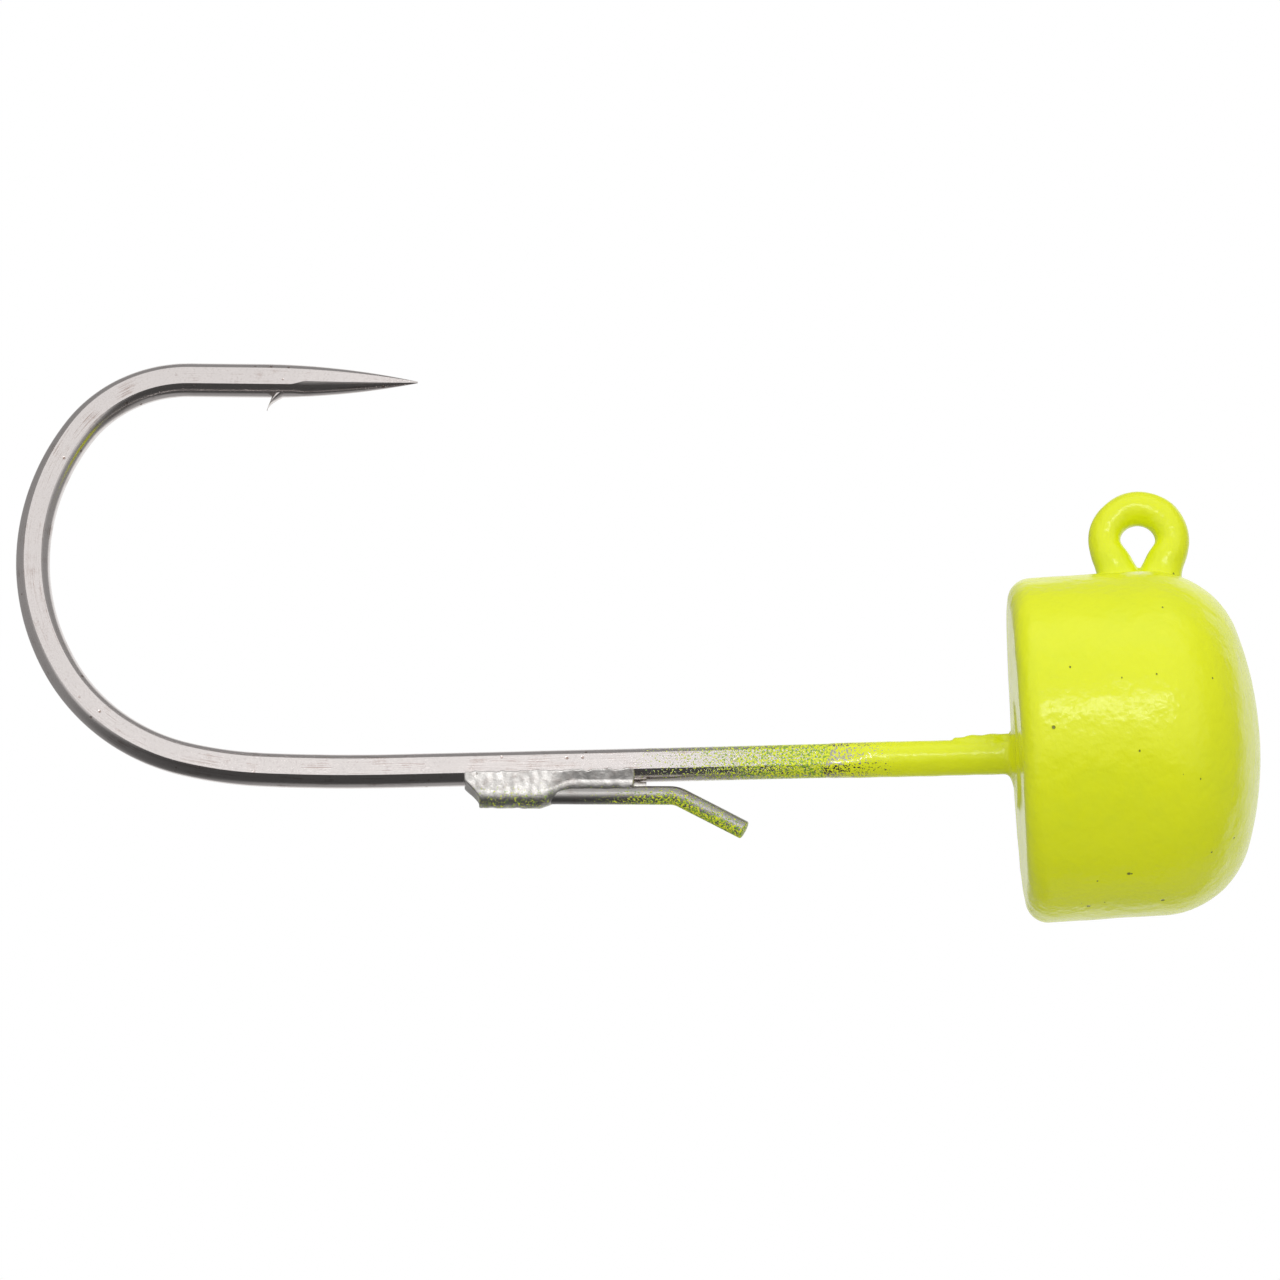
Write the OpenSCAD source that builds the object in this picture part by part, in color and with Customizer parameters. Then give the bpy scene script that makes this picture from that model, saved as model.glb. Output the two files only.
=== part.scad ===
// Round-head fishing jig: a forged hook with a lead head cast round its eye leg,
// a wire bait keeper soldered under the shank, and a powder coat over head, eye and neck.
// Millimetres. The origin is the centre of the line eye, +X points to the head's nose,
// the hook lies in the XZ plane and +Z is the side of the eye and the point.

/* [Hook wire] */
// Diameter of the hook wire
wire_d = 1; // [0.8:0.05:1.3]
// Thickness of the forged wire across its two flats
forged_t = 0.86; // [0.7:0.02:0.98]
// Straight shank from the head's back face to the start of the bend
shank_len = 18.1; // [17.5:0.1:24]
// Shank behind the head that stays round, before the flats begin
round_neck = 0.5; // [0.4:0.1:1]

/* [Hook bend] */
// Radius where the shank first leaves the straight
heel_r = 59.5; // [40:0.5:80]
// Turn of that first easy curve
heel_angle = 3.9; // [2:0.1:6]
// Radius of the lower bend
lower_r = 11.75; // [10:0.05:14]
// Turn of the lower bend
lower_angle = 11.4; // [8:0.1:14]
// Radius of the back of the bend, below the middle
back_r = 5.85; // [5.2:0.05:7]
// Turn of the back of the bend, below the middle
back_angle = 46.3; // [38:0.1:50]
// Radius of the back of the bend, above the middle
crown_r = 6.95; // [6:0.05:8]
// Turn of the back of the bend, above the middle
crown_angle = 65.8; // [60:0.1:70]
// Radius that brings the wire over into the spear
spear_r = 3.95; // [3.4:0.05:4.6]
// Turn into the spear; with the other turns it sets how far the point leans in
spear_angle = 54.7; // [50:0.1:60]

/* [Point and barb] */
// Length of the spear from the bend to the tip of the point
spear_len = 6.77; // [6:0.01:9]
// Length of the tapered needle point
point_len = 4.6; // [3:0.1:5.5]
// Distance from the tip of the point back to the tip of the barb
barb_setback = 4.45; // [3.6:0.01:5]
// Height of the barb's tip above the wire's surface
barb_rise = 0.44; // [0.2:0.02:0.6]
// Length of the barb along the spear, root to root
barb_len = 0.62; // [0.4:0.02:0.9]
// Thickness of the barb across the hook plane
barb_t = 0.42; // [0.3:0.02:0.6]

/* [Line eye] */
// Diameter of the wire that the eye is bent from
eye_wire_d = 0.82; // [0.6:0.02:0.9]
// Radius of the eye ring, to the middle of its wire
eye_ring_r = 1; // [0.85:0.05:1.4]
// Angle at which each side of the eye leans out from its leg
eye_spread = 36; // [30:1:42]
// Radius of the kink between leg and eye
eye_kink_r = 0.6; // [0.5:0.05:0.7]
// Length of the closing end of the eye past the ring
eye_tail = 0.65; // [0.4:0.05:0.7]
// Radius of the right-angle bend from shank to leg, inside the head
leg_bend_r = 1.5; // [1:0.1:2]
// Distance from the head's back face forward to the eye
eye_setback = 3.78; // [3.4:0.01:4.4]

/* [Head] */
// Outer diameter of the coated head
head_d = 10.15; // [9:0.05:12.5]
// Length of the coated head, back face to nose
head_len = 7.16; // [6.8:0.02:8]
// Length of the head's straight side
side_len = 4.05; // [3.4:0.05:4.2]
// Radius of the shoulder between side and nose
shoulder_r = 2.72; // [2.2:0.02:2.8]
// Radius of the edge round the back face
back_edge_r = 0.65; // [0.4:0.05:1]
// Height of the head's axis above the shank's
head_lift = 0.145; // [0:0.005:0.4]
// Nose-up tilt of the head on the shank
head_tilt = 2.2; // [0:0.1:3]
// Height that the line eye's middle stands above the coated head
eye_stand = 1.29; // [1.15:0.01:1.5]
// Outer radius of the low collar where the shank enters
collar_r = 1.6; // [1.2:0.1:2]
// Height of that collar
collar_h = 0.25; // [0.1:0.05:0.5]

/* [Bait keeper] */
// Diameter of the keeper wire
keeper_d = 0.55; // [0.4:0.01:0.7]
// Distance from the head's back face to the rear end of the keeper
keeper_rear = 15.82; // [14.5:0.01:17]
// Straight length of the keeper
keeper_len = 5.59; // [4.5:0.01:6.5]
// Angle at which the keeper falls away from the shank
keeper_fall = 1.6; // [0.5:0.1:3]
// Radius of the keeper's bend
keeper_bend_r = 0.75; // [0.5:0.05:1.2]
// Turn of the keeper's bend
keeper_bend = 28.4; // [20:0.5:45]
// Length of the keeper's free end
keeper_tip_len = 2.09; // [1.5:0.01:3]
// Clearance between keeper and shank at the keeper's rear end
keeper_gap = 0.03; // [0.01:0.01:0.1]

/* [Solder] */
// Length of the solder along the shank
solder_len = 5.2; // [4:0.1:6]
// Length of solder behind the keeper's rear end
solder_lead = 0.45; // [0.4:0.05:0.7]
// Thickness of solder round the keeper
solder_t = 0.1; // [0.06:0.01:0.2]
// Thickness of solder on the lower half of the shank
solder_skin = 0.06; // [0.03:0.01:0.1]

/* [Powder coat] */
// Thickness of the coat on the head
coat_t = 0.12; // [0.06:0.01:0.2]
// Thickness of the coat on the eye
eye_coat_t = 0.08; // [0.04:0.01:0.12]
// Thickness of the thin coat on the shank
film_t = 0.04; // [0.02:0.01:0.08]
// Length of coated shank behind the head
film_len = 5.5; // [3:0.1:6.5]
// Radius of the coat's fillet where the eye meets the head
neck_fillet_r = 0.4; // [0.2:0.02:0.5]

/* [Hidden] */
$fn = 72;

wire_r = wire_d / 2;
eye_wire_r = eye_wire_d / 2;
keeper_r = keeper_d / 2;
head_r = head_d / 2;
tip_r = 0.04; // radius left at the very tip of the point
bite = 0.2; // how far a coat or root runs into what it grows from
collar_lip = 0.15; // thickness of the collar at its thin end
hair = 0.004; // shortfall between two stretches of wire
core_lap = 0.04; // reach of the joining core into each stretch

// Eye: two straight sides leave the apex of a V and run tangent to the ring
eye_height = head_lift + eye_setback * tan(head_tilt) + head_r / cos(head_tilt) + eye_stand;
eye_apex = eye_ring_r / sin(eye_spread);
eye_side_len = eye_ring_r / tan(eye_spread);
kink_tangent = eye_kink_r * tan(eye_spread / 2);
leg_len = eye_height - leg_bend_r - eye_apex - kink_tangent;

// Nose: the dome's radius is the one that meets the shoulder's arc tangentially
nose_len = head_len - side_len;
shoulder_at = head_r - shoulder_r;
dome_r = (pow(nose_len, 2) + pow(shoulder_at, 2) - pow(shoulder_r, 2))
         / (2 * (nose_len - shoulder_r));
dome_at = head_len - dome_r;
meeting_angle = atan2(side_len - dome_at, shoulder_at);

// Keeper: its rear end all but touches the underside of the shank
keeper_drop = wire_r + keeper_r + keeper_gap;

// One frame at the back face, on the shank's axis
module at_shank() translate([-eye_setback, 0, -eye_height]) children();

// One frame at the back face, on the head's axis
module at_head() at_shank() translate([0, 0, head_lift]) rotate([0, -head_tilt, 0]) children();

// ---- wire chain: each stretch is drawn along +Y of the current frame, then moves the frame ----

// Section of a wire of radius $r; $flat is half its thickness across the hook plane
module section(slack = 0) {
    if ($flat < $r)
        intersection() {
            circle(r = $r - slack);
            square([4 * $r, 2 * ($flat - slack)], center = true);
        }
    else
        circle(r = $r - slack);
}

// Stretches of a long chain end a hair ($gap) short of the next one,
// and a core a hair thinner joins them inside
module onward() if ($children > 0) {
    if ($gap > 0)
        rotate([-90, 0, 0]) translate([0, 0, -core_lap]) linear_extrude(2 * core_lap) section($gap);
    children();
}

module straight(len) {
    rotate([-90, 0, 0]) linear_extrude(len - $gap) section();
    translate([0, len, 0]) onward() children();
}

module taper(len, end_r) {
    rotate([-90, 0, 0]) cylinder(h = len - $gap, r1 = $r, r2 = end_r);
    translate([0, len, 0]) {
        $r = end_r;
        $flat = end_r;
        onward() children();
    }
}

module bend(r, angle) translate([-r, 0, 0]) {
    rotate_extrude(angle = angle - $gap / r * 180 / PI, $fn = 180) translate([r, 0]) section();
    rotate([0, 0, angle]) translate([r, 0, 0]) onward() children();
}

module bend_other_way(r, angle) mirror([1, 0, 0]) bend(r, angle) mirror([1, 0, 0]) children();

// Half profile of the needle point: base on the X axis, tip at the top
module point_profile() {
    ogive_r = (pow(point_len, 2) + pow(wire_r, 2) - pow(tip_r, 2)) / (2 * (wire_r - tip_r));
    intersection() {
        square([wire_r, point_len]);
        translate([wire_r - ogive_r, 0]) circle(r = ogive_r, $fn = 720);
    }
}

module needle_point() intersection() {
    rotate([-90, 0, 0]) rotate_extrude() point_profile();
    translate([-wire_d, 0, -forged_t / 2]) cube([2 * wire_d, point_len, forged_t]);
}

// The barb is a tongue raised from the inner side of the spear, leaning back off the point
module barb() {
    root = wire_r - bite / 2;
    translate([0, point_len, 0]) rotate([0, 0, 180]) translate([0, 0, -barb_t / 2])
        linear_extrude(barb_t) polygon([
            [root, barb_setback - barb_len - bite],
            [wire_r + barb_rise, barb_setback],
            [root, barb_setback - bite],
        ]);
}

module hook_bend_and_spear() {
    $r = wire_r;
    $flat = forged_t / 2;
    $gap = hair;
    translate([0, round_neck, 0]) straight(shank_len - round_neck)
        bend(heel_r, heel_angle)
            bend(lower_r, lower_angle)
                bend(back_r, back_angle)
                    bend(crown_r, crown_angle)
                        bend(spear_r, spear_angle)
                            straight(spear_len - point_len) {
                                needle_point();
                                barb();
                            }
}

// Loop of the line eye from the leg's kink round to its closing end
module eye_loop(tail)
    bend(eye_kink_r, eye_spread)
        straight(eye_side_len - kink_tangent)
            bend_other_way(eye_ring_r, 180 + 2 * eye_spread)
                straight(tail);

// A gap joins the stretches as above; 0 leaves them face to face, as the casting's bore needs
module eye_leg_and_eye(gap) {
    $r = wire_r;
    $flat = wire_r;
    $gap = gap;
    translate([0, -round_neck, 0]) straight(round_neck)
        taper(eye_setback - leg_bend_r, eye_wire_r)
            bend(leg_bend_r, 90)
                straight(leg_len) eye_loop(eye_tail);
}

// Frame that starts the chain backward from the head, turning up into the bend
module run_back() at_shank() rotate([-90, 0, 0]) rotate([0, 0, 90]) children();

// Frame that starts the chain forward into the head, turning up to the eye
module run_forward() at_shank() rotate([90, 0, 0]) rotate([0, 0, -90]) children();

module hook() color("slategray") {
    run_back() hook_bend_and_spear();
    run_forward() eye_leg_and_eye(hair);
}

// ---- head ----

// Points of an arc about [x, y], stepped evenly from one angle to another
function arc(x, y, r, from, to, steps) = [
    for (i = [0:steps])
        let (angle = from + (to - from) * i / steps)
            [x + r * cos(angle), y + r * sin(angle)]
];

// Half outline of the head with a skin of the given thickness taken off
function head_outline(skin) = concat(
    [[0, skin]],
    arc(head_r - back_edge_r, back_edge_r, back_edge_r - skin, -90, 0, 12),
    arc(shoulder_at, side_len, shoulder_r - skin, 0, meeting_angle, 20),
    arc(0, dome_at, dome_r - skin, meeting_angle, 90, 12)
);

module head_shape(skin) {
    at_head() rotate([0, 90, 0]) rotate_extrude() polygon(head_outline(skin));
    at_shank() translate([skin, 0, 0]) rotate([0, 90, 0]) {
        translate([0, 0, -collar_h]) cylinder(h = collar_h, r1 = wire_r + collar_lip, r2 = collar_r);
        cylinder(h = bite, r = collar_r);
    }
}

module head_casting() color("dimgray") difference() {
    head_shape(coat_t);
    run_forward() eye_leg_and_eye(0);
}

// ---- bait keeper and its solder ----

// Frame at the keeper's rear end, +X along its straight part
module at_keeper() at_shank() translate([-keeper_rear, 0, -keeper_drop])
    rotate([0, keeper_fall, 0]) children();

module keeper_wire() color("silver") {
    $r = keeper_r;
    $flat = keeper_r;
    $gap = 0;
    at_keeper() rotate([-90, 0, 0]) rotate([0, 0, -90])
        straight(keeper_len) bend(keeper_bend_r, keeper_bend) straight(keeper_tip_len);
}

// The solder wraps the keeper, fills the crotch above it and wets the lower half of the shank
module solder_joint() color("gainsboro") difference() {
    solder_r = keeper_r + solder_t;
    start = solder_r - solder_lead;
    tail_len = solder_len / 2;
    union() {
        at_keeper() translate([start, 0, 0]) {
            sphere(r = solder_r);
            rotate([0, 90, 0]) cylinder(h = solder_len - tail_len, r = solder_r);
            translate([solder_len - tail_len, 0, 0]) rotate([0, 90, 0])
                cylinder(h = tail_len - solder_lead, r1 = solder_r, r2 = keeper_r + solder_skin / 2);
            rotate([90, 0, 90]) linear_extrude(solder_len - solder_lead) polygon([
                [-keeper_r, 0], [keeper_r, 0],
                [forged_t / 2, keeper_drop], [-forged_t / 2, keeper_drop],
            ]);
        }
        intersection() {
            at_shank() translate([-keeper_rear - solder_lead, 0, 0]) rotate([0, 90, 0])
                cylinder(h = solder_len, r = wire_r + solder_skin);
            at_shank() translate([-keeper_rear - solder_lead, -wire_d, -wire_d - bite / 2])
                cube([solder_len, 2 * wire_d, wire_d]);
        }
    }
    hook();
    keeper_wire();
}

// ---- powder coat: one film over head, eye and the neck of the shank ----

module shank_film() run_back() {
    $r = wire_r + film_t;
    $flat = $r;
    $gap = 0;
    straight(round_neck) {
        $flat = forged_t / 2 + film_t;
        straight(film_len - round_neck);
    }
}

module eye_film() {
    coated_r = eye_wire_r + eye_coat_t;
    $r = coated_r;
    $flat = coated_r;
    $gap = hair;
    rotate([90, 0, 0]) translate([0, -eye_apex - kink_tangent, 0])
        eye_loop(eye_side_len + bite);
    translate([0, 0, -eye_stand]) rotate_extrude() {
        translate([0, -bite]) square([coated_r + neck_fillet_r, bite]);
        difference() {
            square([coated_r + neck_fillet_r, neck_fillet_r]);
            translate([coated_r + neck_fillet_r, neck_fillet_r]) circle(r = neck_fillet_r);
        }
    }
}

module powder_coat() color("yellowgreen") difference() {
    union() {
        head_shape(0);
        shank_film();
        eye_film();
    }
    head_shape(coat_t);
    hook();
}

hook();
head_casting();
keeper_wire();
solder_joint();
powder_coat();
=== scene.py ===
"""Looks of a round-head fishing jig: forged hook, coated lead head, wire bait keeper and its solder.

Shapes are worked out in millimetres from the jig's own sizes and turned into metres as meshes are made.
The frame's origin is the centre of the line eye, +X points to the head's nose and +Z to the hook's point.
"""

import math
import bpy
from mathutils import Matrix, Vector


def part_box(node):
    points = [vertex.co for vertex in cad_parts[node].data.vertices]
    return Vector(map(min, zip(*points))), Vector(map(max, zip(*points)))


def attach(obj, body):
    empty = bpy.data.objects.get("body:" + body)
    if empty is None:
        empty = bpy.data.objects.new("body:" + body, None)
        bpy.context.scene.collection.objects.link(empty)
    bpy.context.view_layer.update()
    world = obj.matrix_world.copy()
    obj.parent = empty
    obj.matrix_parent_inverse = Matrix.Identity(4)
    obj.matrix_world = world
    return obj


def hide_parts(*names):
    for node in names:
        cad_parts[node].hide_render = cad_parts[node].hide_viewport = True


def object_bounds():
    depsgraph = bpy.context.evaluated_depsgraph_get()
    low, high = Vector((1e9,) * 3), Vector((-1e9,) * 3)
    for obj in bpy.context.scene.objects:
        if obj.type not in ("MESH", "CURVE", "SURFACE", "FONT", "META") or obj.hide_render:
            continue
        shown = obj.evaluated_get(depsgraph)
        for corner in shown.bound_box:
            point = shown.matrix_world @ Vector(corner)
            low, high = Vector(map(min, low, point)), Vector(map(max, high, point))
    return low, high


bl_info = {
    "name": "Jig head",
    "version": (1, 0, 0),
    "blender": (4, 5, 0),
    "location": "3D View > Sidebar > Jig head",
    "description": "Builds the hook, the coated head, the bait keeper and the studio of a fishing jig",
    "category": "Object",
}

import bmesh
import bpy
import numpy as np
from bpy.props import FloatProperty, FloatVectorProperty, PointerProperty
from mathutils import Matrix, Vector

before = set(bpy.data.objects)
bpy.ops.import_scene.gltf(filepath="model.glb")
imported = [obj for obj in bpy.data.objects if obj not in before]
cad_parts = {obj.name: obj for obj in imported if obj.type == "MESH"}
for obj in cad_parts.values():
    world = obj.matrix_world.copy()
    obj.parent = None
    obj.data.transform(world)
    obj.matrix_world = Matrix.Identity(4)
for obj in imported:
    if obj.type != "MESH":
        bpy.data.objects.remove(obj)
CAD_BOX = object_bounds()
BODY = "root"
MM = 0.001


# ---- sizes and colours that a user would change ----


def length(name, description, default_mm):
    """A length property: its default is given in millimetres and kept in metres."""
    return FloatProperty(name=name, description=description, default=default_mm * MM, unit="LENGTH", precision=5)


def turn(name, description, default_degrees):
    """An angle property with its default given in degrees."""
    return FloatProperty(
        name=name, description=description, default=math.radians(default_degrees), subtype="ANGLE"
    )


def colour(name, description, default):
    return FloatVectorProperty(name=name, description=description, default=default, subtype="COLOR", min=0, max=1)


class HookSizes(bpy.types.PropertyGroup):
    """Wire and bend of the hook."""

    wire_d: length("Wire", "Diameter of the hook wire", 1.0)
    forged_t: length("Forged thickness", "Thickness across the two flats", 0.86)
    shank: length("Shank", "Straight shank behind the head", 18.1)
    heel_r: length("Heel radius", "Radius where the shank first leaves the straight", 59.5)
    lower_r: length("Lower radius", "Radius of the lower bend", 11.75)
    back_r: length("Back radius", "Radius of the back of the bend", 5.85)
    crown_r: length("Crown radius", "Radius above the middle of the bend", 6.95)
    spear_r: length("Spear radius", "Radius that turns into the spear", 3.95)
    heel_turn: turn("Heel turn", "Turn of the heel", 3.9)
    lower_turn: turn("Lower turn", "Turn of the lower bend", 11.4)
    back_turn: turn("Back turn", "Turn of the back of the bend", 46.3)
    crown_turn: turn("Crown turn", "Turn above the middle", 65.8)
    spear_turn: turn("Spear turn", "Turn into the spear", 54.7)
    spear: length("Spear", "Length from the bend to the tip of the point", 6.77)
    point: length("Point", "Length of the tapered point", 4.6)
    barb_back: length("Barb setback", "From the tip of the point back to the barb's tip", 4.45)
    barb_rise: length("Barb rise", "Height of the barb's tip above the wire", 0.44)


class HeadSizes(bpy.types.PropertyGroup):
    """Head and line eye, coat included."""

    setback: length("Eye setback", "From the head's back face forward to the eye", 3.78)
    head_d: length("Head diameter", "Diameter over the coat", 10.15)
    head_l: length("Head length", "Back face to nose", 7.16)
    side: length("Side", "Length of the straight side", 4.05)
    shoulder_r: length("Shoulder", "Radius between side and nose", 2.72)
    back_edge_r: length("Back edge", "Radius round the back face", 0.65)
    lift: length("Lift", "Height of the head's axis above the shank's", 0.145)
    tilt: turn("Tilt", "Nose-up tilt of the head", 2.2)
    stand: length("Eye stand", "Height of the eye's centre above the head", 1.29)
    ring_r: length("Ring radius", "Radius of the eye to the middle of its wire", 1.0)
    ring_wire_d: length("Ring wire", "Diameter of the coated eye wire", 0.98)
    spread: turn("Eye spread", "Lean of each side of the eye off its leg", 36.0)
    collar_r: length("Collar radius", "Radius of the collar round the shank", 1.5)
    collar_h: length("Collar height", "Height of the collar", 0.25)
    film_t: length("Film", "Thickness of the coat on the shank", 0.025)
    film_l: length("Film length", "Length of solidly coated shank", 5.5)


class KeeperSizes(bpy.types.PropertyGroup):
    """Bait keeper and the solder that holds it."""

    wire_d: length("Wire", "Diameter of the keeper wire", 0.55)
    rear: length("Rear end", "From the head's back face to the keeper's rear end", 15.82)
    straight: length("Straight", "Straight length of the keeper", 5.59)
    fall: turn("Fall", "Angle away from the shank", 1.6)
    bend_r: length("Bend radius", "Radius of the keeper's bend", 0.75)
    bend: turn("Bend", "Turn of the keeper's bend", 28.4)
    tip: length("Free end", "Length of the free end", 2.09)
    gap: length("Gap", "Gap between keeper and shank at the rear end", 0.03)
    solder_l: length("Solder length", "Length of the solder along the shank", 5.3)
    solder_lead: length("Solder lead", "Solder behind the keeper's rear end", 0.45)


class Finishes(bpy.types.PropertyGroup):
    """Colours of the surfaces."""

    coat: colour("Coat", "Powder coat", (0.83, 0.90, 0.010))
    coat_deep: colour("Deep coat", "Powder coat where it lies thick", (0.66, 0.79, 0.012))
    # The overspray specks are real coat, but this colour is darker than the coat as painted shade.
    dust: colour("Overspray", "Specks of coat scattered over bare metal", (0.20, 0.38, 0.02))
    plating: colour("Plating", "Plated hook wire", (0.71, 0.665, 0.65))
    tarnish: colour("Tarnish", "Specks and drawing marks on bare wire", (0.22, 0.14, 0.11))
    solder: colour("Solder", "Bright solder", (0.62, 0.60, 0.58))
    lead: colour("Lead", "Cast lead", (0.26, 0.27, 0.29))
    floor: colour("Floor", "Studio floor", (0.86, 0.86, 0.855))


class JigHead(bpy.types.PropertyGroup):
    """All the settings of the jig head."""

    hook: PointerProperty(type=HookSizes)
    head: PointerProperty(type=HeadSizes)
    keeper: PointerProperty(type=KeeperSizes)
    finish: PointerProperty(type=Finishes)


class Millimetres:
    """Reads a group's lengths in millimetres; angles stay in radians."""

    def __init__(self, group):
        self.group = group

    def __getattr__(self, name):
        value = getattr(self.group, name)
        kind = self.group.bl_rna.properties[name].unit
        return value / MM if kind == "LENGTH" else value


def hook_sizes():
    return Millimetres(bpy.context.scene.jig_head.hook)


def head_sizes():
    return Millimetres(bpy.context.scene.jig_head.head)


def keeper_sizes():
    return Millimetres(bpy.context.scene.jig_head.keeper)


def finishes():
    return bpy.context.scene.jig_head.finish


# ---- shader expressions ----


class Socket:
    """A shader socket in a Python expression. Each operator adds a Math node to its tree."""

    def __init__(self, tree, socket):
        self.tree = tree
        self.socket = socket

    def maths(self, operation, *values):
        node = self.tree.nodes.new("ShaderNodeMath")
        node.operation = operation
        for slot, value in zip(node.inputs, values):
            plug(self.tree, slot, value)
        return Socket(self.tree, node.outputs[0])

    def __add__(self, other):
        return self.maths("ADD", self, other)

    def __radd__(self, other):
        return self.maths("ADD", other, self)

    def __sub__(self, other):
        return self.maths("SUBTRACT", self, other)

    def __rsub__(self, other):
        return self.maths("SUBTRACT", other, self)

    def __mul__(self, other):
        return self.maths("MULTIPLY", self, other)

    def __rmul__(self, other):
        return self.maths("MULTIPLY", other, self)

    def __gt__(self, other):
        return self.maths("GREATER_THAN", self, other)

    def root(self):
        return self.maths("SQRT", self)

    def at_least(self, other):
        return self.maths("MAXIMUM", self, other)

    def at_most(self, other):
        return self.maths("MINIMUM", self, other)


def plug(tree, slot, value):
    """Sets a node's input to a value, or links an expression to it."""
    if isinstance(value, Socket):
        tree.links.new(value.socket, slot)
    else:
        slot.default_value = value


class Recipe:
    """Builds one material or world out of nodes."""

    def __init__(self, owner):
        owner.use_nodes = True
        self.tree = owner.node_tree
        self.tree.nodes.clear()

    def add(self, kind, settings=None, output=0, **values):
        """Adds a node. Settings are set first; in a socket's name, _ stands for a space."""
        node = self.tree.nodes.new(kind)
        for key, value in (settings or {}).items():
            if key == "stops":
                self.set_stops(node.color_ramp, value)
            else:
                setattr(node, key, value)
        for key, value in values.items():
            name = key.replace("_", " ").strip()
            index = int(name[2:]) if name.startswith("in") and name[2:].isdigit() else name
            plug(self.tree, node.inputs[index], value)
        return Socket(self.tree, node.outputs[output])

    @staticmethod
    def set_stops(ramp, stops):
        while len(ramp.elements) < len(stops):
            ramp.elements.new(1.0)
        for element, (place, shade) in zip(ramp.elements, stops):
            element.position = place
            element.color = (*shade, 1.0) if hasattr(shade, "__len__") else (shade, shade, shade, 1.0)

    def place(self):
        """The point being shaded, in millimetres in the jig's own frame."""
        spot = self.add("ShaderNodeTexCoord", output=3)
        return self.add("ShaderNodeVectorMath", {"operation": "SCALE"}, in0=spot, Scale=1 / MM)

    def stretch(self, point, x, y, z):
        return self.add("ShaderNodeVectorMath", {"operation": "MULTIPLY"}, in0=point, in1=(x, y, z))

    def part(self, point, output):
        """One of a vector's x, y and z, by number."""
        return self.add("ShaderNodeSeparateXYZ", output=output, Vector=point)

    def along(self, name):
        """A value stored on the mesh."""
        return self.add("ShaderNodeAttribute", {"attribute_name": name}, output=2)

    def noise(self, point, scale, detail=2.0, rough=0.5):
        return self.add("ShaderNodeTexNoise", Vector=point, Scale=scale, Detail=detail, Roughness=rough)

    def spots(self, point, scale, size):
        """1 inside scattered round spots of that size, as a share of their spacing, and 0 between them."""
        distance = self.add("ShaderNodeTexVoronoi", Vector=point, Scale=scale)
        return self.ease(distance, size, size * 0.6)

    def spot_at(self, point, middle, size):
        """1 at one place on the object, fading to 0 at that distance from it."""
        away = self.add("ShaderNodeVectorMath", {"operation": "DISTANCE"}, output=1, in0=point, in1=middle)
        return self.ease(away, size, size * 0.6)

    def ease(self, value, low, high):
        """0 to 1 as the value goes smoothly from low to high; low may be the larger."""
        return self.add(
            "ShaderNodeMapRange",
            {"interpolation_type": "SMOOTHSTEP"},
            Value=value,
            From_Min=low,
            From_Max=high,
        )

    def mix(self, share, low, high):
        """Mixes two colours."""
        low, high = [c if isinstance(c, Socket) else (*c[:3], 1.0) for c in (low, high)]
        return self.add(
            "ShaderNodeMix",
            {"data_type": "RGBA"},
            output=2,
            in0=share,
            in6=low,
            in7=high,
        )

    def bump(self, height, distance_mm, strength=1.0):
        return self.add("ShaderNodeBump", Height=height, Distance=distance_mm * MM, Strength=strength)

    def finish(self, shader):
        out = self.tree.nodes.new("ShaderNodeOutputMaterial")
        self.tree.links.new(shader.socket, out.inputs["Surface"])


def material(name):
    return bpy.data.materials.new(name)


def coat_material():
    """Glossy yellow-green powder coat with faint orange peel, dust pits and thin places."""
    made = material("powder_coat")
    r = Recipe(made)
    spot = r.place()
    drift = r.noise(spot, 0.35, 3.0)
    fine = r.noise(spot, 2.2, 4.0, 0.6)
    pits = r.spots(spot, 0.62, 0.042) + r.spots(r.stretch(spot, 1.3, 1.1, 0.9), 1.1, 0.045)
    base = r.mix(r.ease(drift * 0.7 + fine * 0.3, 0.4, 0.8) * 0.4, finishes().coat, finishes().coat_deep)
    thin = r.ease(r.part(spot, 0) + head_sizes().setback, -3.0, -6.0)
    bare = overspray(r, spot, thin * 0.55)
    pits = (pits + r.spot_at(spot, (-head_sizes().setback - 0.16, -0.5, shank_height() + 0.02), 0.075)).at_most(1.0)
    base = r.mix(pits * 0.8, base, (0.07, 0.08, 0.03))
    base = r.mix(bare, base, [c * 0.6 for c in finishes().plating])
    peel = r.noise(spot, 1.6, 2.0) * 0.8 + r.noise(spot, 6.0, 2.0) * 0.2 - pits * 0.5
    shade = r.add(
        "ShaderNodeBsdfPrincipled",
        Base_Color=base,
        Roughness=0.15 + 0.16 * fine,
        Metallic=bare,
        IOR=1.5,
        Normal=r.bump(peel, 0.07, 0.9),
    )
    r.finish(shade)
    return made


def wire_shading(r, tint, dirt, roughness, worn):
    """Base colour, roughness and relief of drawn wire, with marks that run along it."""
    spot = r.place()
    run, around = r.along("run"), r.along("around")
    lines = r.add("ShaderNodeCombineXYZ", X=run * 0.35, Y=around * 9.0)
    drawn = r.noise(lines, 1.6, 3.0, 0.6)
    patches = r.noise(spot, 1.4, 4.0, 0.65)
    specks = r.spots(spot, 2.3, 0.13) * r.ease(r.noise(spot, 0.5, 1.0), 0.45, 0.6)
    marks = (r.ease(drawn * 0.5 + patches * 0.5, 0.52, 0.70) * worn + specks * 0.7).at_most(1.0)
    grain = r.noise(spot, 18.0, 2.0, 0.6)
    base = r.mix((marks + r.ease(grain, 0.5, 0.75) * 0.14).at_most(1.0), tint, dirt)
    relief = drawn * 0.6 + patches * 0.4 - specks
    return spot, base, roughness + 0.10 * patches + 0.12 * marks, relief


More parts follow.
